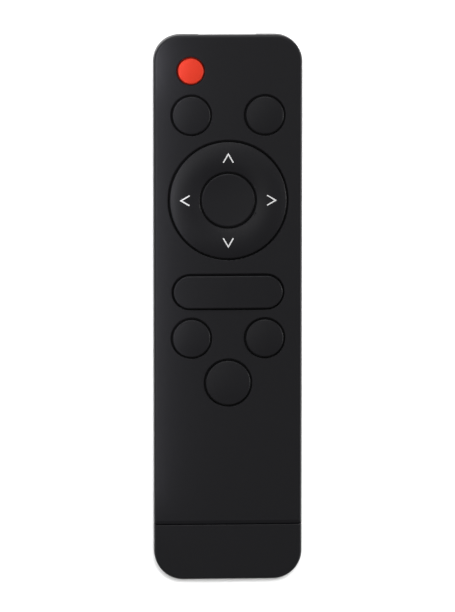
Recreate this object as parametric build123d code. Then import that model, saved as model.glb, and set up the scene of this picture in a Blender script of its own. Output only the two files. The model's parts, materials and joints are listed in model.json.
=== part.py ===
from build123d import *
import os
from math import radians, sin, sqrt

# Remote control, lying on its back. Millimetres, X across, Y towards the infra-red end, Z out of the keys.
# The origin is on the table, under the middle of the body. Driving dimensions come first.

# Cells and the battery compartment
cell_diameter = 10.5
cell_length = 44.5
cell_rim_radius = 0.4
cell_nub_radius = 1.9
cell_nub_height = 0.8
cell_pitch = 11.2
cell_floor_gap = 0.15
cell_roof_gap = 0.1
cell_side_gap = 0.2
spring_length = 4.6
spring_radius = 3.0
spring_wire_radius = 0.3
spring_turns = 3
spring_cone_angle = -8
contact_sheet = 0.3
contact_half_width = 3.8
contact_above_cell = 4.4
contact_bridge_width = 3.0
solder_tab_width = 2.0
tub_wall = 1.2
tub_roof = 0.8
tub_skirt = 3.0
tub_end_gap = 3.0
cradle_width = 1.2
cradle_depth = 3.3
cradle_places = (0.2, 0.5, 0.8)

# Shells
shell_wall = 1.5
cover_wall = 1.2
rim_height = 5.0
body_length = 148.0
side_land = 3.75
top_corner_radius = 7.2
bottom_corner_radius = 7.9
front_edge_radius = 0.75
back_edge_radius = 5.5
back_draft = 7.0
cap_length = 15.1
seam_gap = 0.2
seam_edge_radius = 0.2
seam_bevel_length = 1.0
seam_bevel_depth = 0.3
split_height = 6.0
split_gap = 0.2
slide_gap = 0.15
cap_lip_wall = 1.0
cap_lip_length = 4.0
cap_lip_root = 2.0
lip_wall = 0.72
lip_gap = 0.08
lip_height = 1.0
lip_root_sink = 0.2
lip_root_drop = 0.3
lip_start = 3.0
deck_wall = 1.2
back_rib_width = 1.0
back_rib_height = 1.5
back_rib_pitch = 27.0
root_sink = 0.1

# Battery cover: guide rails, hooks and the thumb grip
rail_wall = 0.8
rail_top_gap = 1.0
rail_end_gap = 3.0
hook_width = 1.6
hook_wall = 1.1
hook_reach = 2.5
hook_root = 4.0
hook_post_length = 2.5
hook_side_gap = 0.3
hook_lift_gap = 0.2
grip_length = 16.0
grip_width = 8.0
grip_depth = 0.5
grip_above_seam = 12.6
ridge_length = 7.0
ridge_width = 0.6
ridge_pitch = 1.4
ridge_count = 5
ridge_sink = 0.1

# Keys: rows are measured from the infra-red end, the side columns from the side of the body
column_from_side = 10.12
power_from_side = 9.97
power_from_end = 9.65
upper_row_from_end = 21.55
ring_from_end = 44.5
rocker_from_end = 69.4
lower_row_from_end = 81.95
lower_centre_from_end = 94.1
power_radius = 3.4
round_key_radius = 5.05
lower_centre_radius = 6.0
ok_radius = 7.15
ring_radius = 15.7
rocker_length = 29.38
rocker_width = 8.76
power_gap = 0.42
key_gap = 0.5
ring_gap = 0.55
hole_edge_radius = 0.2
key_edge_radius = 0.3
key_proud = 0.35
key_crown = 0.35
key_wall = 1.0
key_pocket_rise = 0.4
key_travel = 0.45
flange_width = 0.7
flange_thickness = 0.6
flange_gap = 0.1
collar_wall = 0.6
collar_height = 0.9
collar_gap = 0.2
ok_dish = 0.25
ring_tilt = 1.2
rocker_tilt = 1.6
ring_rim_proud = 0.2
ring_crest_proud = 0.85
ring_edge_radius = 0.25
ring_step_width = 1.3
ring_step_rise = 0.3
tilting_flange = 0.45
tilt_gap = 0.05
ring_flange_root = 2.0
pad_wall = 0.7
pad_gap = 0.3
pad_roof_gap = 0.05
fulcrum_width = 1.0

# Keypad and circuit board
board_thickness = 0.8
board_roof_gap = 0.05
board_inset = 3.0
board_end_margin = 0.3
board_past_contacts = 3.0
sheet_thickness = 0.3
sheet_hole_gap = 0.2
dome_foot_radius = 2.7
dome_top_radius = 1.7
dome_wall = 0.45
dome_top_wall = 0.3
key_rest_gap = 0.05
pill_radius = 1.25
pill_thickness = 0.3
ring_dome_radius = 12.3
rocker_dome_x = 9.0

# Infra-red window and diode
window_width = 15.6
window_height = 6.8
window_recess = 0.13
window_gap = 0.05
window_above_parting = 1.9
window_depth = 4.0
window_flange_width = 1.5
window_flange_wall = 1.1
window_flange_rise = 0.4
diode_radius = 2.5
diode_length = 8.7
diode_rim = 0.4
diode_board_gap = 0.5
lead_width = 0.5
lead_length = 2.0
lead_pitch = 2.54

# Other components under the board
component_gap = 0.1
chip_length = 12.8
chip_width = 7.5
chip_height = 2.3
chip_bevel = 0.25
pin_count = 10
pin_pitch = 1.27
pin_width = 0.4
pin_sheet = 0.25
pin_knee = 0.95
pin_foot = 0.5
pin_drop = 1.3
crystal_x = 10.0
crystal_above_ring = 14.0
crystal_length = 10.6
crystal_width = 4.2
crystal_height = 3.0
crystal_base_rim = 0.45
crystal_base_height = 0.8
crystal_edge_radius = 0.5
capacitor_x = -11.0
capacitor_above_ring = 10.0
capacitor_radius = 2.5
capacitor_length = 9.0
capacitor_neck_place = 1.6
capacitor_neck_radius = 0.35
capacitor_lead_pitch = 2.0
transistor_x = 6.0
transistor_from_end = 16.0
transistor_length = 2.9
transistor_width = 1.3
transistor_height = 1.0
transistor_lead_x = 0.95
transistor_lead_reach = 0.55
transistor_lead_sheet = 0.5
resistor_x = 9.5
resistor_length = 1.6
resistor_width = 0.8
resistor_height = 0.45
resistor_pitch = 2.5
resistor_count = 4

# Screws
case_screw_radius = 1.0
case_screw_length = 6.5
case_head_radius = 1.75
case_head_height = 1.3
case_head_sink = 1.8
case_boss_radius = 2.0
case_boss_height = 3.5
case_boss_gap = 0.1
case_foot_wall = 0.4
case_screw_from_board = 4.7
board_screw_radius = 0.8
board_screw_end_gap = 0.4
board_hole_gap = 0.15
board_head_radius = 1.6
board_head_height = 0.9
board_boss_radius = 1.7
board_screw_from_side = 4.2
top_screw_above_row = 2.0
side_screw_below_middle = 4.7
low_screw_below_row = 7.6
screw_gap = 0.05

# Sizes worked out from the driving dimensions
body_width = 2 * (ring_radius + ring_gap + side_land)
cell_z = cover_wall + cell_floor_gap + cell_diameter / 2
roof_z = cell_z + cell_diameter / 2 + cell_roof_gap
board_bottom = roof_z + tub_roof + board_roof_gap
board_top = board_bottom + board_thickness
sheet_top = board_top + sheet_thickness
key_push = key_travel - key_rest_gap
dome_room = key_push + pill_thickness
dome_height = dome_room + dome_wall - sheet_thickness
key_foot = sheet_top + dome_height + key_rest_gap
inside_z = key_foot + flange_thickness + flange_gap
body_thickness = inside_z + shell_wall
parting_z = body_thickness - rim_height
window_top = parting_z + window_above_parting
half_width, half_length = body_width / 2, body_length / 2
seam_y = cap_length - half_length
tub_half = cell_pitch / 2 + cell_diameter / 2 + cell_side_gap
tub_outside = tub_half + tub_wall
tub_low_y = -half_length + cover_wall + tub_end_gap
contact_low_y = tub_low_y + tub_wall
contact_high_y = contact_low_y + cell_length + spring_length + 2 * contact_sheet
cover_top_y = contact_high_y + tub_wall
cap_inset = cover_wall + slide_gap
hook_z = shell_wall + hook_lift_gap

column_x = half_width - column_from_side
power_y = half_length - power_from_end
upper_y = half_length - upper_row_from_end
ring_y = half_length - ring_from_end
rocker_y = half_length - rocker_from_end
lower_y = half_length - lower_row_from_end
lower_centre_y = half_length - lower_centre_from_end
keypad_low_y = lower_centre_y - lower_centre_radius - key_gap - flange_width - board_end_margin
board_low_y = min(keypad_low_y, contact_high_y - board_past_contacts)
ring_step = ok_radius + ring_gap + ring_step_width
ring_flange = ring_radius + ring_gap + flange_width
pad_inside = ring_step + pad_wall + pad_gap
pad_outside = ring_flange - ring_flange_root - pad_gap

case_screw_y = board_low_y - case_screw_from_board
case_screw_x = (tub_outside + half_width - cap_inset) / 2
case_boss_top = split_height + case_boss_height
case_seat = split_height + case_head_sink
side_screw_x = half_width - board_screw_from_side
side_screw_y = (ring_y + rocker_y) / 2 - side_screw_below_middle
board_screws = [(0.0, upper_y + top_screw_above_row)]
for screw_y in (side_screw_y, lower_y - low_screw_below_row):
    board_screws += [(-side_screw_x, screw_y), (side_screw_x, screw_y)]

# Name: centre x, centre y, radius, gap round the key
round_keys = {
    "power_key": (power_from_side - half_width, power_y, power_radius, power_gap),
    "upper_left_key": (-column_x, upper_y, round_key_radius, key_gap),
    "upper_right_key": (column_x, upper_y, round_key_radius, key_gap),
    "lower_left_key": (-column_x, lower_y, round_key_radius, key_gap),
    "lower_right_key": (column_x, lower_y, round_key_radius, key_gap),
    "lower_centre_key": (0.0, lower_centre_y, lower_centre_radius, key_gap),
}

# Each dome: centre x, centre y and how far its key pushes it
ring_push = ring_dome_radius * sin(radians(ring_tilt)) - key_rest_gap
rocker_push = rocker_dome_x * sin(radians(rocker_tilt)) - key_rest_gap
domes = [(x, y, key_push) for x, y, radius, gap in round_keys.values()] + [(0.0, ring_y, key_push)]
for side in (-1, 1):
    domes += [(0.0, ring_y + side * ring_dome_radius, ring_push)]
    domes += [(side * ring_dome_radius, ring_y, ring_push)]
    domes += [(side * rocker_dome_x, rocker_y, rocker_push)]


def slab(x, y, z):
    """A block between two planes on each axis."""
    middle = [(span[0] + span[1]) / 2 for span in (x, y, z)]
    return Pos(*middle) * Box(*[span[1] - span[0] for span in (x, y, z)])


def about(middle, size):
    """The span of that size about a middle."""
    return middle - size / 2, middle + size / 2


def beside(side, near, far):
    """The span between two distances from the middle plane, on its left (-1) or right (1)."""
    return sorted((side * near, side * far))


def disc(x, y, z_low, z_high, radius):
    """An upright cylinder between two heights."""
    return Pos(x, y, (z_low + z_high) / 2) * Cylinder(radius, z_high - z_low)


def pill(grown, z_low, z_high):
    """An upright block in the rocker's outline, grown all round."""
    outline = SlotOverall(rocker_length + 2 * grown, rocker_width + 2 * grown)
    return extrude(Pos(0, rocker_y, z_low) * outline, z_high - z_low)


def plan_outline(inset):
    """The body's outline at the parting line, moved inward, with its own corner radius at each end."""
    plan = Rectangle(body_width - 2 * inset, body_length - 2 * inset)
    plan = fillet(plan.vertices().group_by(Axis.Y)[-1], top_corner_radius - inset)
    return fillet(plan.vertices().group_by(Axis.Y)[0], bottom_corner_radius - inset)


def body_form(inset=0.0):
    """The closed outer form, moved inward: an upright rim in front, drafted walls and a round edge behind."""
    plan = Pos(Z=parting_z) * plan_outline(inset)
    front = extrude(plan, body_thickness - inset - parting_z)
    if inset < front_edge_radius:
        front = fillet(front.edges().group_by(Axis.Z)[-1], front_edge_radius - inset)
    back = extrude(plan, inset - parting_z, taper=back_draft)
    back = fillet(back.edges().group_by(Axis.Z)[0], back_edge_radius - inset)
    return front + back


def skin(inset, wall, y, z, x=(-half_width, half_width)):
    """A stretch of wall that follows the outer form, from one inset inward."""
    return (body_form(inset) - body_form(inset + wall)) & slab(x, y, z)


def seam_edges(part, y):
    """The outer edges of the rim in the plane across the body at y."""
    edges = []
    for edge in part.edges():
        box = edge.bounding_box()
        in_plane = box.size.Y < 0.001 and abs(box.min.Y - y) < 0.001
        reach = max(box.max.X, -box.min.X)
        outermost = box.max.Z > inside_z + shell_wall / 2 or reach > half_width - 0.001
        if in_plane and outermost and box.min.Z > parting_z - 0.001:
            edges.append(edge)
    return edges


def seam_bevel(y):
    """The wedge that slopes the key face down to the seam at y, open above."""
    high = body_thickness + seam_bevel_depth
    near, far = y - seam_bevel_length, y + seam_bevel_length
    corners = [(near, body_thickness - 2 * seam_bevel_depth), (far, body_thickness), (far, high), (near, high)]
    profile = make_face(Polyline(*[(-half_width, *corner) for corner in corners], close=True))
    return extrude(profile, body_width, dir=(1, 0, 0))


def window_opening(grown):
    """The block that the infra-red window fills in the end wall, grown all round."""
    through = (half_length - window_depth, half_length + 1)
    height = (window_top - window_height - grown, window_top + grown)
    return slab(about(0, window_width + 2 * grown), through, height)


def front_shell():
    """Key face, rim and end wall, with key holes, guide collars, bosses and the lip under the cap."""
    edge_y = seam_y + seam_gap / 2
    shell = skin(0, shell_wall, (edge_y, half_length), (parting_z, body_thickness))
    shell = fillet(seam_edges(shell - seam_bevel(edge_y), edge_y), seam_edge_radius)
    cap_lip = (seam_y - cap_lip_length, edge_y + cap_lip_root)
    shell += skin(cap_inset, cap_lip_wall, cap_lip, (parting_z, inside_z + slide_gap))
    low, root, above = inside_z - collar_height, inside_z + root_sink, body_thickness + 1
    holes = [*round_keys.values(), (0.0, ring_y, ring_radius, ring_gap)]
    play = flange_width + collar_gap
    for x, y, radius, gap in holes:
        shell += disc(x, y, low, root, radius + gap + play + collar_wall)
    shell += pill(key_gap + play + collar_wall, low, root)
    for x, y, radius, gap in holes:
        shell -= disc(x, y, low, inside_z, radius + gap + play)
        shell -= disc(x, y, low, above, radius + gap)
    shell -= pill(key_gap + play, low, inside_z)
    shell -= pill(key_gap, low, above)
    face = shell.faces().sort_by(Axis.Z)[-1]
    shell = fillet([edge for wire in face.inner_wires() for edge in wire.edges()], hole_edge_radius)
    for x, y in board_screws:
        shell += disc(x, y, board_top, root, board_boss_radius)
        shell -= disc(x, y, board_top, inside_z, board_screw_radius + screw_gap)
    for x in (-case_screw_x, case_screw_x):
        shell += disc(x, case_screw_y, case_boss_top + case_boss_gap, root, case_boss_radius)
        shell -= disc(x, case_screw_y, case_boss_top, inside_z, case_screw_radius + screw_gap)
    return shell - window_opening(window_gap)


def cell_cradles():
    """Cross ribs under the compartment's roof, hollowed to the cells."""
    cells = [(side * cell_pitch / 2, cell_diameter / 2 + cell_roof_gap) for side in (-1, 1)]
    ribs = []
    for share in cradle_places:
        y = contact_low_y + share * (contact_high_y - contact_low_y)
        height = (roof_z - cradle_depth, roof_z + root_sink)
        rib = slab(about(0, 2 * tub_half), about(y, cradle_width), height)
        for x, radius in cells:
            rib -= Pos(x, y, cell_z) * Rot(90, 0, 0) * Cylinder(radius, 2 * cradle_width)
        ribs.append(rib)
    return ribs


def back_shell():
    """Back and lower side walls, the battery compartment with its deck, and the lip at the parting line."""
    high = (cover_top_y + split_gap / 2, half_length)
    middle = (seam_y + seam_gap / 2, high[0])
    lip_span, lip_root_z = (seam_y + lip_start, half_length), parting_z - 2 * lip_height
    lip_depth = lip_root_sink + lip_gap + lip_wall
    lip = skin(shell_wall - lip_root_sink, lip_depth, lip_span, (lip_root_z, parting_z - lip_root_drop))
    lip += skin(shell_wall + lip_gap, lip_wall, lip_span, (lip_root_z, parting_z + lip_height))
    shell = lip - window_opening(window_flange_width + hook_lift_gap)
    shell += skin(0, shell_wall, high, (0, parting_z)) - window_opening(window_gap)
    shell += skin(0, shell_wall, middle, (split_height + split_gap / 2, parting_z))
    cap_lip = (seam_y - cap_lip_length, seam_y + cap_lip_root)
    shell += skin(cap_inset, cap_lip_wall, cap_lip, (split_height, parting_z))

    inner = body_form(cap_inset)
    across, bulkhead = (-half_width, half_width), (contact_high_y, cover_top_y + 1)
    tub_z = (tub_skirt, roof_z + tub_roof)
    deck_z = (split_height + split_gap / 2, split_height + deck_wall)
    shell += inner & slab(across, bulkhead, (0, parting_z - lip_height))
    shell += inner & slab(across, (seam_y, cover_top_y), deck_z)
    shell += slab((-tub_outside, tub_outside), (tub_low_y, cover_top_y), tub_z)
    shell -= slab((-tub_half, tub_half), (contact_low_y, contact_high_y), (-1, roof_z))
    for rib in cell_cradles():
        shell += rib
    for side in (-1, 1):
        x = side * case_screw_x
        shell += disc(x, case_screw_y, deck_z[0], case_boss_top, case_boss_radius + case_foot_wall)
        shell -= disc(x, case_screw_y, split_height, case_seat, case_head_radius + screw_gap)
        shell -= disc(x, case_screw_y, split_height, case_boss_top + 1, case_screw_radius + screw_gap)
        pocket_z = (shell_wall - root_sink, hook_z + hook_wall + hook_lift_gap)
        shell -= slab(hook_span(side, hook_side_gap), (bulkhead[0] - 1, bulkhead[1] + 1), pocket_z)
        tab = about(side * cell_pitch / 2, solder_tab_width + 2 * cell_side_gap)
        shell -= slab(tab, (contact_high_y - contact_sheet, contact_high_y), (roof_z - 1, board_bottom))
    for step in (-1, 0, 1):
        y = ring_y + step * back_rib_pitch
        rib_z = (shell_wall - root_sink, shell_wall + back_rib_height)
        shell += inner & slab(across, about(y, back_rib_width), rib_z)
    return shell


def hook_span(side, grown=0.0):
    """The width that a cover hook takes beside the battery compartment."""
    near = tub_outside + cell_side_gap + hook_side_gap
    return beside(side, near - grown, near + hook_width + grown)


def battery_cover():
    """The body's bottom end and the sliding back panel in one piece, with rails, hooks and a thumb grip."""
    edge_y = seam_y - seam_gap / 2
    top_y = cover_top_y - split_gap / 2
    cover = skin(0, cover_wall, (-half_length, edge_y), (0, body_thickness))
    cover = fillet(seam_edges(cover, edge_y), seam_edge_radius)
    cover += skin(0, cover_wall, (edge_y - cap_lip_root, top_y), (0, split_height - split_gap / 2))
    floor = cover_wall - root_sink
    for side in (-1, 1):
        rail = beside(side, tub_outside + cell_side_gap, tub_outside + cell_side_gap + rail_wall)
        rail_z = (floor, split_height - rail_top_gap)
        cover += slab(rail, (contact_low_y, contact_high_y - rail_end_gap), rail_z)
        tip = (top_y - hook_root, cover_top_y + hook_reach)
        cover += slab(hook_span(side), tip, (hook_z, hook_z + hook_wall))
        cover += slab(hook_span(side), (tip[0], tip[0] + hook_post_length), (floor, hook_z + root_sink))
    grip_y = seam_y + grip_above_seam
    cover -= Pos(0, grip_y) * extrude(SlotOverall(grip_length, grip_width), grip_depth)
    for step in range(ridge_count):
        y = grip_y + (step - (ridge_count - 1) / 2) * ridge_pitch
        cover += slab(about(0, ridge_length), about(y, ridge_width), (ridge_sink, grip_depth + root_sink))
    return cover


def ir_window():
    """Dark window across the parting line of the end wall, with a wider flange inside."""
    ends = (half_length - window_depth, half_length)
    low, wide = window_top - window_height, window_width + 2 * window_flange_width
    window = skin(window_recess, shell_wall, ends, (low, window_top), about(0, window_width))
    flange_z = (low - window_flange_width, window_top + window_flange_rise)
    return window + skin(shell_wall + window_gap, window_flange_wall, ends, flange_z, about(0, wide))


def round_key(x, y, radius, gap, crown):
    """A hollow round key: retaining flange, cap with a domed or dished top, and a plunger over its dome."""
    flange, shoulder = radius + gap + flange_width, key_foot + flange_thickness
    rim = body_thickness + key_proud
    side = Polyline(
        (0, 0, key_foot), (flange, 0, key_foot), (flange, 0, shoulder), (radius, 0, shoulder), (radius, 0, rim)
    )
    top = ThreePointArc((radius, 0, rim), (radius / 2, 0, rim + 0.75 * crown), (0, 0, rim + crown))
    key = revolve(make_face(side + top + Line((0, 0, rim + crown), (0, 0, key_foot))), Axis.Z)
    brim = key.edges().filter_by(GeomType.CIRCLE).filter_by_position(Axis.Z, rim - 0.01, rim + 0.01)
    key = fillet(brim, key_edge_radius)
    pocket = (key_foot, inside_z + key_pocket_rise)
    hollow = disc(0, 0, *pocket, radius - key_wall) - disc(0, 0, *pocket, dome_top_radius)
    return Pos(x, y) * (key - hollow)


def navigation_ring():
    """Crowned ring, hollow below for its pad, with a tilting flange and a step over the OK key's flange."""
    bore = ok_radius + ring_gap
    drop = ring_flange * sin(radians(sqrt(2) * ring_tilt)) + tilt_gap
    flange_top = inside_z - drop
    flange_low = flange_top - tilting_flange
    pocket_in, pocket_out = pad_inside - pad_gap, pad_outside + pad_gap
    step_z, pocket_z = inside_z + ring_step_rise, inside_z + key_pocket_rise + pad_roof_gap
    rim, crest = body_thickness + ring_rim_proud, body_thickness + ring_crest_proud
    outside = [(ring_flange, flange_low), (ring_flange, flange_top)]
    outside += [(ring_radius, flange_top), (ring_radius, rim)]
    inside = [(bore, rim), (bore, step_z), (ring_step, step_z), (ring_step, flange_top)]
    inside += [(pocket_in, flange_top), (pocket_in, pocket_z), (pocket_out, pocket_z)]
    inside += [(pocket_out, flange_low), (ring_flange, flange_low)]
    crown = ThreePointArc((ring_radius, 0, rim), ((ring_radius + bore) / 2, 0, crest), (bore, 0, rim))
    profile = Polyline(*[(r, 0, z) for r, z in outside]) + crown + Polyline(*[(r, 0, z) for r, z in inside])
    ring = revolve(make_face(profile), Axis.Z)
    brims = ring.edges().filter_by(GeomType.CIRCLE).filter_by_position(Axis.Z, rim - 0.01, rim + 0.01)
    return Pos(0, ring_y) * fillet(brims, ring_edge_radius)


def navigation_pad():
    """Soft ring that carries the navigation ring and presses the four domes under it."""
    height = (key_foot, inside_z + key_pocket_rise)
    return disc(0, ring_y, *height, pad_outside) - disc(0, ring_y, *height, pad_inside)


def volume_rocker():
    """Wide pill key that rocks about its middle, with a tilting flange, two plungers and a fulcrum rib."""
    reach = rocker_length / 2 + key_gap + flange_width
    flange_top = inside_z - reach * sin(radians(rocker_tilt)) - tilt_gap
    flange_low = flange_top - tilting_flange
    top, pocket_z = body_thickness + key_proud + key_crown, inside_z + key_pocket_rise
    bend = (rocker_length**2 / 4 + key_crown**2) / (2 * key_crown)
    key = pill(0, flange_low, top)
    key &= Pos(0, rocker_y, top - bend) * Rot(90, 0, 0) * Cylinder(bend, 2 * rocker_width)
    key = fillet([edge for edge in key.edges() if edge.bounding_box().min.Z > body_thickness], key_edge_radius)
    key += pill(key_gap + flange_width, flange_low, flange_top)
    key -= pill(-key_wall, flange_low, pocket_z)
    for side in (-1, 1):
        key += disc(side * rocker_dome_x, rocker_y, key_foot, pocket_z + root_sink, dome_top_radius)
    fulcrum_z = (sheet_top + key_rest_gap, pocket_z + root_sink)
    return key + slab(about(0, fulcrum_width), about(rocker_y, rocker_width / 2), fulcrum_z)


def board_plan(z, thickness):
    """A layer in the circuit board's outline."""
    layer = extrude(Pos(Z=z) * plan_outline(board_inset), thickness)
    return layer & slab((-half_width, half_width), (board_low_y, half_length), (z, z + thickness))


def keypad_membrane():
    """Silicone sheet on the board with one hollow dome for each contact."""
    sheet = board_plan(board_top, sheet_thickness)
    for x, y in board_screws:
        sheet -= disc(x, y, board_top, sheet_top, board_boss_radius + sheet_hole_gap)
    for x, y, push in domes:
        sheet += Pos(x, y, sheet_top + dome_height / 2) * Cone(dome_foot_radius, dome_top_radius, dome_height)
    room = Cone(dome_foot_radius - dome_wall, dome_top_radius - dome_top_wall, dome_room)
    for x, y, push in domes:
        sheet -= Pos(x, y, board_top + dome_room / 2) * room
    return sheet


def carbon_contacts():
    """The carbon pills under the domes, each as far from the board as its dome is pushed."""
    return Compound([disc(x, y, board_top + push, board_top + dome_room, pill_radius) for x, y, push in domes])


def circuit_board():
    """The board, with clearance holes for its screws."""
    board = board_plan(board_bottom, board_thickness)
    for x, y in board_screws:
        board -= disc(x, y, board_bottom, board_top, board_screw_radius + board_hole_gap)
    return board


def bent_lead(x, y, z):
    """A wire lead that leaves a lying component at y and turns up to the board."""
    wide = about(x, lead_width)
    run = slab(wide, (y - lead_length, y + lead_width), about(z, lead_width))
    return run + slab(wide, about(y - lead_length, lead_width), (z - lead_width / 2, board_bottom))


def ir_led():
    """Diode that lies under the board and looks through the window."""
    start = half_length - board_inset - diode_length
    z = board_bottom - diode_radius - diode_board_gap
    upright = (Align.CENTER, Align.CENTER, Align.MIN)
    body = Cylinder(diode_radius, diode_length - diode_radius, align=upright)
    body += Pos(Z=diode_length - diode_radius) * Sphere(diode_radius)
    body += Cylinder(diode_radius + diode_rim, 2 * lead_width, align=upright)
    diode = Pos(0, start, z) * Rot(-90, 0, 0) * body
    for side in (-1, 1):
        diode += bent_lead(side * lead_pitch / 2, start, z)
    return diode


def controller_chip():
    """Small-outline chip with a row of bent pins on each long side."""
    high, knee = board_bottom - component_gap, chip_width / 2 + pin_knee
    chip = slab(about(0, chip_width), about(ring_y, chip_length), (high - chip_height, high))
    chip = chamfer(chip.edges().filter_by(Axis.Y), chip_bevel)
    for side in (-1, 1):
        for step in range(pin_count):
            pin = about(ring_y + (step - (pin_count - 1) / 2) * pin_pitch, pin_width)
            arm = beside(side, chip_width / 2 - root_sink, knee)
            chip += slab(arm, pin, (high - pin_drop, high - pin_drop + pin_sheet))
            chip += slab(beside(side, knee - pin_sheet, knee), pin, (high - pin_drop, board_bottom))
            foot = beside(side, knee - pin_sheet, knee + pin_foot)
            chip += slab(foot, pin, (board_bottom - pin_sheet, board_bottom))
    return chip


def crystal():
    """Crystal in its drawn can, standing on its base under the board."""
    length, width = crystal_length + 2 * crystal_base_rim, crystal_width + 2 * crystal_base_rim
    base = extrude(SlotOverall(length, width), -crystal_base_height)
    can = extrude(SlotOverall(crystal_length, crystal_width), -crystal_base_height - crystal_height)
    can = fillet(can.edges().group_by(Axis.Z)[0], crystal_edge_radius)
    return Pos(crystal_x, ring_y + crystal_above_ring, board_bottom) * (base + can)


def reservoir_capacitor():
    """Electrolytic capacitor lying along the board, with a rolled neck and two leads."""
    y, z = ring_y + capacitor_above_ring, board_bottom - capacitor_radius - component_gap
    can = Cylinder(capacitor_radius, capacitor_length, align=(Align.CENTER, Align.CENTER, Align.MIN))
    neck = Torus(capacitor_radius + capacitor_neck_radius / 2, capacitor_neck_radius)
    can -= Pos(Z=capacitor_neck_place) * neck
    can = Pos(capacitor_x, y, z) * Rot(-90, 0, 0) * can
    for side in (-1, 1):
        can += bent_lead(capacitor_x + side * capacitor_lead_pitch / 2, y, z)
    return can


def driver_transistor():
    """Three-lead transistor that drives the diode."""
    y, high = half_length - transistor_from_end, board_bottom - component_gap
    edge, tip = transistor_width / 2 - root_sink, transistor_width / 2 + transistor_lead_reach
    height = (high - transistor_height, high)
    body = slab(about(transistor_x, transistor_length), about(y, transistor_width), height)
    lead_z = (board_bottom - transistor_lead_sheet, board_bottom)
    for dx, side in ((-transistor_lead_x, -1), (transistor_lead_x, -1), (0, 1)):
        span = sorted((y + side * edge, y + side * tip))
        body += slab(about(transistor_x + dx, pin_width), span, lead_z)
    return body


def smd_resistors():
    """Chip resistors in a row on each side of the chip."""
    height = (board_bottom - resistor_height, board_bottom)
    resistors = []
    for step in range(resistor_count):
        wide = about(ring_y + (step - (resistor_count - 1) / 2) * resistor_pitch, resistor_width)
        for x in (-resistor_x, resistor_x):
            resistors.append(slab(about(x, resistor_length), wide, height))
    return Compound(resistors)


def contact_plate(x, y, solder_tab):
    """A sheet contact across one end of a cell, with an optional tab up to the board."""
    sheet, top = (y, y + contact_sheet), cell_z + contact_above_cell
    plate = slab(about(x, 2 * contact_half_width), sheet, (tub_skirt, top))
    if solder_tab:
        plate += slab(about(x, solder_tab_width), sheet, (top - root_sink, board_bottom))
    return plate


def contact_spring(x, y, toward):
    """A conical spring of six-sided wire that grows from a contact sheet towards its cell."""
    rise = spring_length - 2 * spring_wire_radius
    line = Helix(pitch=rise / spring_turns, height=rise, radius=spring_radius, cone_angle=spring_cone_angle)
    section = Plane(origin=line @ 0, z_dir=line % 0) * RegularPolygon(spring_wire_radius, 6)
    coil = sweep(section, path=line, is_frenet=True)
    return Pos(x, y + toward * spring_wire_radius, cell_z) * Rot(-90 * toward, 0, 0) * coil


def battery_contact_positive():
    """Flat contact for the left cell's positive end."""
    return contact_plate(-cell_pitch / 2, contact_high_y - contact_sheet, True)


def battery_contact_negative():
    """Sprung contact for the right cell's negative end."""
    x, y = cell_pitch / 2, contact_high_y - contact_sheet
    return contact_plate(x, y, True) + contact_spring(x, y, -1)


def battery_bridge_contact():
    """Sheet that joins the two cells at the far end, with a spring for the left one."""
    x, y = cell_pitch / 2, contact_low_y
    bridge = contact_plate(-x, y, False) + contact_plate(x, y, False)
    bridge += slab((-x, x), (y, y + contact_sheet), about(cell_z, contact_bridge_width))
    return bridge + contact_spring(-x, y + contact_sheet, 1)


def battery(side):
    """One cell. The left one's positive nub points to the infra-red end, the right one's away from it."""
    radius, body_end = cell_diameter / 2, cell_length - cell_nub_height
    corners = [(0, 0), (radius, 0), (radius, body_end), (cell_nub_radius, body_end)]
    corners += [(cell_nub_radius, cell_length), (0, cell_length)]
    profile = Polyline(*[(r, 0, z) for r, z in corners], close=True)
    cell = revolve(make_face(profile), Axis.Z)
    rims = cell.edges().filter_by(GeomType.CIRCLE).filter_by(lambda edge: edge.radius > radius - 0.01)
    cell = fillet(rims, cell_rim_radius)
    nub_y = contact_high_y - contact_sheet if side < 0 else contact_low_y + contact_sheet
    return Pos(side * cell_pitch / 2, nub_y + side * cell_length, cell_z) * Rot(90 * side, 0, 0) * cell


def screw(x, y, z, shank_radius, shank, head_radius, head):
    """A pan head screw that points up, its head's bearing face at z."""
    top = fillet(disc(x, y, z - head, z, head_radius).edges().group_by(Axis.Z)[0], head / 3)
    return top + disc(x, y, z, z + shank, shank_radius)


def case_screws():
    """Two screws under the battery cover that hold the shells together."""
    sizes = (case_screw_radius, case_screw_length, case_head_radius, case_head_height)
    return Compound([screw(side * case_screw_x, case_screw_y, case_seat, *sizes) for side in (-1, 1)])


def board_screw_set():
    """The screws that hold the board to the front shell."""
    length = inside_z - board_bottom - board_screw_end_gap
    sizes = (board_screw_radius, length, board_head_radius, board_head_height)
    return Compound([screw(x, y, board_bottom, *sizes) for x, y in board_screws])


nodes = {
    "front_shell": front_shell(),
    "back_shell": back_shell(),
    "battery_cover": battery_cover(),
    "ir_window": ir_window(),
    "navigation_ring": navigation_ring(),
    "navigation_pad": navigation_pad(),
    "ok_key": round_key(0, ring_y, ok_radius, ring_gap, -ok_dish),
    "volume_rocker": volume_rocker(),
    "keypad_membrane": keypad_membrane(),
    "carbon_contacts": carbon_contacts(),
    "circuit_board": circuit_board(),
    "ir_led": ir_led(),
    "controller_chip": controller_chip(),
    "crystal": crystal(),
    "reservoir_capacitor": reservoir_capacitor(),
    "driver_transistor": driver_transistor(),
    "smd_resistors": smd_resistors(),
    "battery_contact_positive": battery_contact_positive(),
    "battery_contact_negative": battery_contact_negative(),
    "battery_bridge_contact": battery_bridge_contact(),
    "battery_left": battery(-1),
    "battery_right": battery(1),
    "case_screws": case_screws(),
    "board_screws": board_screw_set(),
}
for name, (x, y, radius, gap) in round_keys.items():
    nodes[name] = round_key(x, y, radius, gap, key_crown)

os.makedirs("parts", exist_ok=True)
for name, solid in nodes.items():
    export_step(solid, f"parts/{name}.step")
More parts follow.
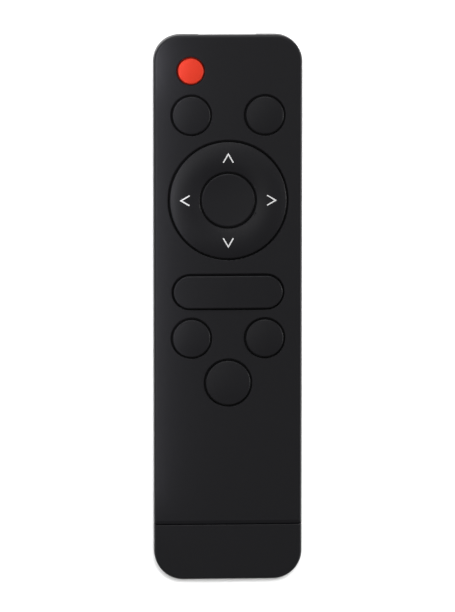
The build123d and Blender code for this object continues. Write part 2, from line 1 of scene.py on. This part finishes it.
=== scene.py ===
"""Looks for the remote control: finishes, printed chevrons, studio and camera.

Lengths are in metres, and +Z points out of the key face.
"""
import json
import math

import bmesh
import bpy
from mathutils import Matrix, Vector
from mathutils.bvhtree import BVHTree


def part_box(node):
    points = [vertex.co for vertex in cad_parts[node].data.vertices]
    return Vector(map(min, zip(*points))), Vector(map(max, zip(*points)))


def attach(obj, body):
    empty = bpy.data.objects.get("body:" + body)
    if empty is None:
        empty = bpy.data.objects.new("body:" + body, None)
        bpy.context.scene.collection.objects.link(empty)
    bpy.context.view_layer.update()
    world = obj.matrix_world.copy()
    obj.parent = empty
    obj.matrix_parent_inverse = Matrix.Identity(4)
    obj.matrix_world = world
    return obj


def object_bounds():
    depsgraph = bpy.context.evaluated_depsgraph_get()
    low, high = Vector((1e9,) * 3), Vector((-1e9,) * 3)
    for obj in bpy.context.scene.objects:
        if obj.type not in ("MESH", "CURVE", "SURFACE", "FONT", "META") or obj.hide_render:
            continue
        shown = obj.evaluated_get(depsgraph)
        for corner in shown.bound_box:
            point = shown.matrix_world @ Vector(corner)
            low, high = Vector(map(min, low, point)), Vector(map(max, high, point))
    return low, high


MM = 0.001

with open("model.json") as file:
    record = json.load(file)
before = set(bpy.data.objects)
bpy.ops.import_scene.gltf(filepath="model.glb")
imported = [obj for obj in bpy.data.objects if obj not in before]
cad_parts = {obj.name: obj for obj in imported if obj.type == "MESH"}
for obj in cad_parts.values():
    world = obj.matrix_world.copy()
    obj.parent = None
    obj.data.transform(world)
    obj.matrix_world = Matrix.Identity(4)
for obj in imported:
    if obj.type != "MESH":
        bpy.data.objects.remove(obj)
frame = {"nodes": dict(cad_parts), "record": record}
cad_low, cad_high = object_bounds()
nodes = frame["nodes"]
slot_of = {part["node"]: part["material_slot"] for part in frame["record"]["subparts"]}

white = (1.0, 1.0, 1.0)

# Camera: the face seen a little from above and from the left
camera_distance = 1.5
camera_pitch = math.radians(7.5)
camera_yaw = math.radians(3.2)
camera_clip_start = 0.01
target_x = -0.17 * MM
target_y = 0.79 * MM
target_z = 17.0 * MM
focal_pixels = 5562.0
photo_height = 612
sensor_width = 36.0

# Finishes: size of the mottled patches, and the drawn lines of metal
mottle_size = 9.0 * MM
metal_patch_size = 3.0 * MM
metal_line_size = 0.12 * MM
metal_line_depth = 0.004 * MM
metal_line_squeeze = 0.06

# The cell whose nipple points to +Y; the other one lies the other way round
nipple_up_cell = "battery_left"

# Bands of a cell's jacket: where each ends, as a share of the length from the nipple, and their colours
cell_nipple_end = 0.035
cell_copper_end = 0.24
cell_jacket_end = 0.985
cell_metal = (0.72, 0.72, 0.70)
cell_copper = (0.62, 0.33, 0.16)
cell_jacket = (0.05, 0.055, 0.06)

# Chevrons printed on the ring: half width, depth and stroke, and how far the ink stands proud or sinks in
chevron_half = 1.35 * MM
chevron_depth = 2.32 * MM
chevron_stroke = 0.34 * MM
chevron_relief = 0.03 * MM
chevron_sunk = 0.06 * MM
chevron_steps = 6

# Distance of a chevron's tip from the ring's middle, along the body and across it
chevron_apex_along = 12.88 * MM
chevron_apex_across = 13.10 * MM

# Height from which the ring's crown is felt for, well above the body
probe_height = 0.1

# Floor: a round plane with a slowly rising rim, and its own glow at distances from the middle
floor_radius = 2.9
floor_end = 3.6
floor_rim = 0.25
floor_sides = 64
floor_glow = ((0.3, 0.04), (1.2, 0.9), (floor_radius, 0.9), (floor_end, 0.1))
floor_colour = (0.7, 0.7, 0.7)
floor_roughness = 0.9
floor_specular = 0.1


def shader_nodes(name):
    """A new node material, its tree and its shader."""
    made = bpy.data.materials.new(name)
    made.use_nodes = True
    tree = made.node_tree
    return made, tree, tree.nodes["Principled BSDF"]


def object_place(tree):
    """The socket that gives a point's place in the object's own space."""
    return tree.nodes.new("ShaderNodeTexCoord").outputs["Object"]


def noise(tree, place, size, detail=2.0, roughness=0.5):
    """Noise with features of about that size, and its value from 0 to 1."""
    texture = tree.nodes.new("ShaderNodeTexNoise")
    texture.inputs["Scale"].default_value = 1.0 / size
    texture.inputs["Detail"].default_value = detail
    texture.inputs["Roughness"].default_value = roughness
    tree.links.new(place, texture.inputs["Vector"])
    return texture.outputs["Fac"]


def spread(tree, value, low, high):
    """The value from 0 to 1 mapped onto low to high."""
    mapped = tree.nodes.new("ShaderNodeMapRange")
    mapped.inputs["To Min"].default_value = low
    mapped.inputs["To Max"].default_value = high
    tree.links.new(value, mapped.inputs["Value"])
    return mapped.outputs["Result"]


def between(tree, value, first, second):
    """A colour that goes from first to second with the value."""
    mix = tree.nodes.new("ShaderNodeMix")
    mix.data_type = "RGBA"
    mix.inputs["A"].default_value = (*first, 1.0)
    mix.inputs["B"].default_value = (*second, 1.0)
    tree.links.new(value, mix.inputs["Factor"])
    return mix.outputs["Result"]


def bump(tree, shader, height, depth, strength=1.0):
    """Relief of that depth from the height, on the shader's normal."""
    relief = tree.nodes.new("ShaderNodeBump")
    relief.inputs["Distance"].default_value = depth
    relief.inputs["Strength"].default_value = strength
    tree.links.new(height, relief.inputs["Height"])
    tree.links.new(relief.outputs["Normal"], shader.inputs["Normal"])


def fill_ramp(node, stops):
    """Gives a colour ramp its stops, each a position and a colour, from low to high."""
    ramp = node.color_ramp.elements
    for index, (position, colour) in enumerate(stops):
        stop = ramp[index] if index < len(ramp) else ramp.new(1.0)
        stop.position = position
        stop.color = (*colour, 1.0)


def moulded(name, colour, other, roughness, grain, depth, specular):
    """Moulded plastic or rubber: mottled colour, uneven gloss and a fine grain from the mould."""
    made, tree, shader = shader_nodes(name)
    place = object_place(tree)
    broad = noise(tree, place, mottle_size, detail=3.0)
    tree.links.new(between(tree, broad, colour, other), shader.inputs["Base Color"])
    tree.links.new(spread(tree, broad, *roughness), shader.inputs["Roughness"])
    shader.inputs["Specular IOR Level"].default_value = specular
    fine = noise(tree, place, grain, detail=4.0, roughness=0.6)
    bump(tree, shader, fine, depth)
    return made


def brushed(name, colour, other, roughness, along):
    """Drawn or plated metal: fine lines along one axis, in gloss and in relief."""
    made, tree, shader = shader_nodes(name)
    place = object_place(tree)
    stretch = tree.nodes.new("ShaderNodeMapping")
    scales = [metal_line_squeeze if axis == along else 1.0 for axis in "XYZ"]
    stretch.inputs["Scale"].default_value = scales
    tree.links.new(place, stretch.inputs["Vector"])
    lines = noise(tree, stretch.outputs["Vector"], metal_line_size, detail=3.0)
    broad = noise(tree, place, metal_patch_size)
    shader.inputs["Metallic"].default_value = 1.0
    tree.links.new(between(tree, broad, colour, other), shader.inputs["Base Color"])
    tree.links.new(spread(tree, lines, *roughness), shader.inputs["Roughness"])
    bump(tree, shader, lines, metal_line_depth)
    return made


def window_material():
    """Dark polished plastic that lets infra-red light through, with faint smears in its gloss."""
    made, tree, shader = shader_nodes("window_plastic")
    place = object_place(tree)
    smear = noise(tree, place, size=2.5 * MM, detail=3.0)
    shader.inputs["Base Color"].default_value = (0.006, 0.003, 0.007, 1.0)
    tree.links.new(spread(tree, smear, low=0.06, high=0.16), shader.inputs["Roughness"])
    bump(tree, shader, smear, depth=0.01 * MM, strength=0.3)
    return made


def laminate_material():
    """Green solder mask over a woven laminate."""
    made, tree, shader = shader_nodes("board_laminate")
    place = object_place(tree)
    weave_size = 2.4 * MM
    weave = tree.nodes.new("ShaderNodeTexBrick")
    weave.inputs["Scale"].default_value = 1.0 / weave_size
    weave.inputs["Mortar Size"].default_value = 0.06
    weave.inputs["Color1"].default_value = (0.010, 0.085, 0.030, 1.0)
    weave.inputs["Color2"].default_value = (0.012, 0.100, 0.036, 1.0)
    weave.inputs["Mortar"].default_value = (0.020, 0.150, 0.050, 1.0)
    tree.links.new(place, weave.inputs["Vector"])
    tree.links.new(weave.outputs["Color"], shader.inputs["Base Color"])
    broad = noise(tree, place, size=4.0 * MM)
    tree.links.new(spread(tree, broad, low=0.25, high=0.38), shader.inputs["Roughness"])
    bump(tree, shader, weave.outputs["Fac"], depth=0.03 * MM, strength=0.6)
    return made


def resin_material():
    """Tinted clear resin of the infra-red diode, with a little haze."""
    made, tree, shader = shader_nodes("diode_resin")
    haze = noise(tree, object_place(tree), size=1.2 * MM)
    shader.inputs["Base Color"].default_value = (0.22, 0.14, 0.30, 1.0)
    shader.inputs["Transmission Weight"].default_value = 0.7
    shader.inputs["IOR"].default_value = 1.54
    tree.links.new(spread(tree, haze, low=0.04, high=0.12), shader.inputs["Roughness"])
    return made


def sleeve_material():
    """Shrink sleeve of the capacitor, with wrinkles and uneven gloss."""
    made, tree, shader = shader_nodes("capacitor_sleeve")
    place = object_place(tree)
    broad = noise(tree, place, size=1.5 * MM, detail=3.0)
    colour = between(tree, broad, first=(0.006, 0.012, 0.05), second=(0.010, 0.02, 0.075))
    tree.links.new(colour, shader.inputs["Base Color"])
    tree.links.new(spread(tree, broad, low=0.16, high=0.3), shader.inputs["Roughness"])
    bump(tree, shader, broad, depth=0.02 * MM, strength=0.4)
    return made


def cell_material(node):
    """Plain jacket of a cell: coppery next to the nipple, dark beyond, and bare metal at both ends."""
    low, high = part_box(node)
    made, tree, shader = shader_nodes(node + "_jacket")
    place = object_place(tree)
    axes = tree.nodes.new("ShaderNodeSeparateXYZ")
    tree.links.new(place, axes.inputs["Vector"])
    nipple_up = node == nipple_up_cell
    near, far = (high.y, low.y) if nipple_up else (low.y, high.y)
    along = tree.nodes.new("ShaderNodeMapRange")
    along.inputs["From Min"].default_value = near
    along.inputs["From Max"].default_value = far
    tree.links.new(axes.outputs["Y"], along.inputs["Value"])
    bands = tree.nodes.new("ShaderNodeValToRGB")
    bands.color_ramp.interpolation = "CONSTANT"
    stops = (
        (0.0, cell_metal),
        (cell_nipple_end, cell_copper),
        (cell_copper_end, cell_jacket),
        (cell_jacket_end, cell_metal),
    )
    fill_ramp(bands, stops)
    tree.links.new(along.outputs["Result"], bands.inputs["Fac"])
    tree.links.new(bands.outputs["Color"], shader.inputs["Base Color"])
    scuffs = noise(tree, place, size=1.6 * MM, detail=4.0)
    shader.inputs["Metallic"].default_value = 0.8
    tree.links.new(spread(tree, scuffs, low=0.22, high=0.4), shader.inputs["Roughness"])
    bump(tree, shader, scuffs, depth=0.01 * MM, strength=0.4)
    return made


# Moulded finishes: two mottled colours, roughness from and to, size and depth of the grain, specular level
black = (0.0085, 0.0084, 0.0101)
deep_black = (0.0072, 0.0071, 0.0086)
chip_black = (0.018, 0.018, 0.019)
chip_grey = (0.026, 0.026, 0.027)
case_finish = (black, deep_black, (0.42, 0.50), 0.16 * MM, 0.012 * MM, 0.2)
moulded_finishes = {
    "front_plastic": case_finish,
    "back_plastic": case_finish,
    "cover_plastic": case_finish,
    "key_plastic": (deep_black, black, (0.40, 0.48), 0.10 * MM, 0.006 * MM, 0.2),
    "red_key_plastic": (
        (0.590, 0.0306, 0.0109),
        (0.610, 0.0320, 0.0115),
        (0.5, 0.6),
        0.10 * MM,
        0.005 * MM,
        0.2,
    ),
    "silicone": ((0.30, 0.30, 0.31), (0.36, 0.36, 0.37), (0.55, 0.7), 0.12 * MM, 0.006 * MM, 0.4),
    "carbon": ((0.012, 0.012, 0.012), (0.02, 0.02, 0.02), (0.6, 0.8), 0.08 * MM, 0.01 * MM, 0.3),
    "component_black": (chip_black, chip_grey, (0.5, 0.65), 0.08 * MM, 0.01 * MM, 0.5),
}

# Metal finishes: two mottled colours, roughness from and to, axis of the drawn lines
metal_finishes = {
    "metal_can": ((0.78, 0.78, 0.77), (0.7, 0.7, 0.7), (0.2, 0.36), "X"),
    "contact_metal": ((0.74, 0.73, 0.70), (0.66, 0.65, 0.62), (0.22, 0.4), "Z"),
    "screw_steel": ((0.6, 0.6, 0.6), (0.5, 0.5, 0.5), (0.25, 0.42), "Z"),
}

finishes = {
    "window_plastic": window_material(),
    "board_laminate": laminate_material(),
    "diode_resin": resin_material(),
    "capacitor_sleeve": sleeve_material(),
}
for slot_name, look in moulded_finishes.items():
    finishes[slot_name] = moulded(slot_name, *look)
for slot_name, look in metal_finishes.items():
    finishes[slot_name] = brushed(slot_name, *look)
for node, shown in nodes.items():
    is_cell = slot_of[node] == "cell_jacket"
    finish = cell_material(node) if is_cell else finishes[slot_of[node]]
    shown.data.materials.clear()
    shown.data.materials.append(finish)


def ink_material():
    """White ink, a little patchy."""
    made, tree, shader = shader_nodes("white_ink")
    patchy = noise(tree, object_place(tree), size=0.4 * MM, detail=3.0)
    colour = between(tree, patchy, first=(0.74, 0.74, 0.74), second=(0.82, 0.82, 0.82))
    tree.links.new(colour, shader.inputs["Base Color"])
    tree.links.new(spread(tree, patchy, low=0.35, high=0.5), shader.inputs["Roughness"])
    return made


def add_object(name, mesh, material):
    """The object that a finished mesh makes, in the scene and in its material."""
    data = bpy.data.meshes.new(name)
    mesh.to_mesh(data)
    mesh.free()
    data.materials.append(material)
    added = bpy.data.objects.new(name, data)
    bpy.context.scene.collection.objects.link(added)
    return added


def surface_under(node):
    """A function that gives the height of a node's upper surface over a point of the plan."""
    mesh = nodes[node].data
    corners = [vertex.co for vertex in mesh.vertices]
    surface = BVHTree.FromPolygons(corners, [tuple(face.vertices) for face in mesh.polygons])
    down = Vector((0.0, 0.0, -1.0))

    def height(point):
        hit = surface.ray_cast(Vector((point.x, point.y, probe_height)), down)[0]
        return hit.z

    return height


def stations(start, end):
    """Points in even steps from start to end."""
    return [start.lerp(end, step / chevron_steps) for step in range(chevron_steps + 1)]


def chevron_edges(outward, apex, centre):
    """Pairs of an outer and an inner point along the stroke, from one arm's end to the other arm's end."""
    across = Vector((-outward.y, outward.x, 0.0))
    arm = math.hypot(chevron_half, chevron_depth)
    tip_step = outward * (chevron_stroke / 2 * arm / chevron_half)
    tip = centre + outward * apex - tip_step
    sides = []
    for sign in (-1, 1):
        end = tip - outward * chevron_depth + across * (sign * chevron_half)
        normal = (outward * chevron_half + across * (sign * chevron_depth)) / arm * (chevron_stroke / 2)
        outer = stations(tip + tip_step, end + normal)
        inner = stations(tip - tip_step, end - normal)
        sides.append(list(zip(outer, inner)))
    return sides[0][:0:-1] + sides[1]


def chevron(name, outward, apex, centre, height, ink):
    """A printed chevron whose tip points outward from the centre, laid on the ring's crown."""
    mesh = bmesh.new()
    rings = []
    for outer, inner in chevron_edges(outward, apex, centre):
        upper = [(outer, chevron_relief), (inner, chevron_relief)]
        lower = [(inner, -chevron_sunk), (outer, -chevron_sunk)]
        corners = [(point.x, point.y, height(point) + lift) for point, lift in upper + lower]
        rings.append([mesh.verts.new(corner) for corner in corners])
    for first, second in zip(rings, rings[1:]):
        for k in range(len(first)):
            after = (k + 1) % len(first)
            mesh.faces.new((first[k], first[after], second[after], second[k]))
    mesh.faces.new(rings[0][::-1])
    mesh.faces.new(rings[-1])
    bmesh.ops.recalc_face_normals(mesh, faces=mesh.faces)
    printed = add_object(name, mesh, ink)
    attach(printed, "navigation_ring")


ring_low, ring_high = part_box("navigation_ring")
ring_centre = Vector(((ring_low.x + ring_high.x) / 2, (ring_low.y + ring_high.y) / 2, 0.0))
ring_height = surface_under("navigation_ring")
white_ink = ink_material()
chevrons = {
    "up": ((0, 1, 0), chevron_apex_along),
    "down": ((0, -1, 0), chevron_apex_along),
    "left": ((-1, 0, 0), chevron_apex_across),
    "right": ((1, 0, 0), chevron_apex_across),
}
for name, (outward, apex) in chevrons.items():
    chevron("chevron_" + name, Vector(outward), apex, ring_centre, ring_height, white_ink)


def floor_material():
    """Matt pale grey that glows by the distance from the floor's middle, least near the object."""
    made, tree, shader = shader_nodes("floor_white")
    distance = tree.nodes.new("ShaderNodeVectorMath")
    distance.operation = "LENGTH"
    tree.links.new(object_place(tree), distance.inputs[0])
    share = tree.nodes.new("ShaderNodeMath")
    share.operation = "DIVIDE"
    share.inputs[1].default_value = floor_end
    tree.links.new(distance.outputs["Value"], share.inputs[0])
    glow = tree.nodes.new("ShaderNodeValToRGB")
    fill_ramp(glow, [(reach / floor_end, (strength,) * 3) for reach, strength in floor_glow])
    tree.links.new(share.outputs["Value"], glow.inputs["Fac"])
    shader.inputs["Base Color"].default_value = (*floor_colour, 1.0)
    shader.inputs["Emission Color"].default_value = (*white, 1.0)
    tree.links.new(glow.outputs["Color"], shader.inputs["Emission Strength"])
    shader.inputs["Roughness"].default_value = floor_roughness
    shader.inputs["Specular IOR Level"].default_value = floor_specular
    return made


def floor():
    """Plain floor under the object, with a low raised rim far out that closes the horizon."""
    mesh = bmesh.new()
    turns = [2 * math.pi * k / floor_sides for k in range(floor_sides)]
    rings = []
    for radius, height in ((floor_radius, 0.0), (floor_end, floor_rim)):
        rings.append([mesh.verts.new((radius * math.cos(a), radius * math.sin(a), height)) for a in turns])
    inner, outer = rings
    mesh.faces.new(inner)
    for k in range(floor_sides):
        after = (k + 1) % floor_sides
        mesh.faces.new((inner[after], inner[k], outer[k], outer[after]))
    plane = add_object("floor", mesh, floor_material())
    plane.location.z = cad_low.z
    return plane


def softbox(name, place, aim, width, height, power, colour=white):
    """An area light at a place, turned to its aim, unseen by the camera.

    Its width lies level and square to the way it shines, and its height square to both.
    """
    data = bpy.data.lights.new(name, "AREA")
    data.shape = "RECTANGLE"
    data.size = width
    data.size_y = height
    data.energy = power
    data.color = colour
    light = bpy.data.objects.new(name, data)
    light.location = place
    light.rotation_mode = "QUATERNION"
    light.rotation_quaternion = (Vector(aim) - Vector(place)).to_track_quat("-Z", "Y")
    light.visible_camera = False
    bpy.context.scene.collection.objects.link(light)
    return light


def light_only(light, receiver):
    """Keeps a light's own rays to one receiver; everything still throws a shadow in it."""
    lit = bpy.data.collections.new(light.name + "_receiver")
    lit.objects.link(receiver)
    light.light_linking.receiver_collection = lit


floor_plane = floor()

# Lights: place, aim, width, height and power in watts. The low strip on the right lights that side wall.
body_middle = (0.0, 0.0, 0.01)
studio_lights = {
    "left_box": ((-0.45, 0.10, 0.80), body_middle, 0.5, 0.8, 2.3),
    "high_box": ((0.0, 0.60, 0.80), body_middle, 0.5, 0.5, 1.5),
    "right_box": ((0.90, 0.0, 0.22), body_middle, 0.16, 0.4, 5.0),
    "right_strip": ((0.055, 0.0, 0.005), (0.020, 0.0, 0.015), 0.15, 0.006, 0.045),
    "back_box": ((0.0, 0.75, 0.40), body_middle, 0.5, 0.25, 2.4),
}
for name, values in studio_lights.items():
    softbox(name, *values)

# Narrow cool strips just above the left rim, for the bright line on it: place along the body, length, power
cool = (0.97, 0.97, 1.06)
rim_strip_across = -0.0215
rim_strip_height = 0.028
rim_strip_width = 0.003
rim_aim_across = -0.0205
rim_aim_height = 0.017
rim_strips = {
    "side_strip": (0.033, 0.085, 0.0039),
    "lower_strip": (-0.032, 0.045, 0.0018),
    "corner_strip": (0.067, 0.016, 0.0012),
}
for name, (along, length, power) in rim_strips.items():
    place = (rim_strip_across, along, rim_strip_height)
    aim = (rim_aim_across, along, rim_aim_height)
    softbox(name, place, aim, length, rim_strip_width, power, cool)

# A high lamp that reaches only the floor draws the thin shadow under the bottom end
floor_light = softbox("floor_light", (-0.062, 0.265, 1.50), (0.0, 0.0, 0.0), 0.16, 0.13, 29.0)
light_only(floor_light, floor_plane)

world_strength = 0.286
world = bpy.data.worlds.new("studio")
bpy.context.scene.world = world
world.use_nodes = True
background = world.node_tree.nodes["Background"]
background.inputs["Color"].default_value = (*white, 1.0)
background.inputs["Strength"].default_value = world_strength
bpy.context.scene.view_settings.view_transform = "Standard"

camera_data = bpy.data.cameras.new("camera")
camera_data.sensor_width = sensor_width
camera_data.lens = focal_pixels / photo_height * sensor_width
camera_data.clip_start = camera_clip_start
camera = bpy.data.objects.new("camera", camera_data)
bpy.context.scene.collection.objects.link(camera)
back = Vector(
    (
        -math.sin(camera_yaw) * math.cos(camera_pitch),
        math.sin(camera_pitch),
        math.cos(camera_yaw) * math.cos(camera_pitch),
    )
)
target = Vector((target_x, target_y, target_z))
camera.location = target + back * camera_distance
right = (-back).cross(Vector((0.0, 1.0, 0.0))).normalized()
up = right.cross(-back)
camera.rotation_mode = "QUATERNION"
camera.rotation_quaternion = Matrix((right, up, back)).transposed().to_quaternion()
bpy.context.scene.camera = camera
